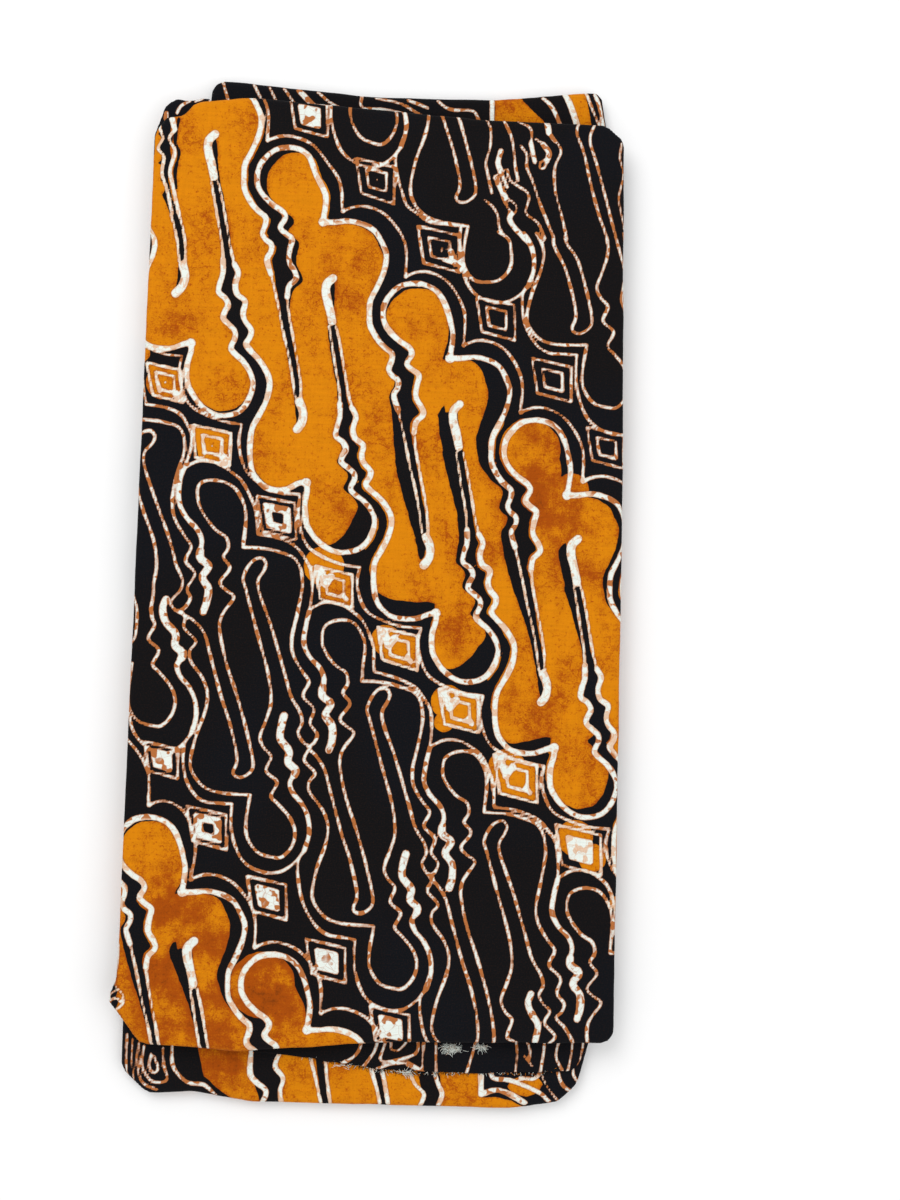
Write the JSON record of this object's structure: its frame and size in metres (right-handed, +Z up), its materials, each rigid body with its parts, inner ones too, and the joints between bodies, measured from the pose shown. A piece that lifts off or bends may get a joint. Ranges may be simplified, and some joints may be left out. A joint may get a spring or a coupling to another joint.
{
  "type": "folded sarong",
  "caption": "Long cotton wrap cloth folded into a flat oblong bundle, its layers stepped at both ends and one raw cut end showing, with a diagonal wax-resist blade pattern.",
  "frame": {"origin": "middle of the folded bundle's underside, on the surface that it lies on", "axes": "+Y along the bundle, away from the end with the raw cut edge; +X to the right as seen from above with that end nearest; +Z up through the stack of layers"},
  "size_m": [0.2758, 0.5779, 0.019],
  "materials": {
    "amber_cloth": "dyed plain-weave cotton, matte",
    "black_cloth": "dyed plain-weave cotton, matte"
  },
  "bodies": {
    "root": {"top_panel": "amber_cloth", "hidden_layers": "black_cloth", "raw_end_flap": "black_cloth", "lower_fold": "amber_cloth", "under_panel": "black_cloth"}
  },
  "joints": []
}
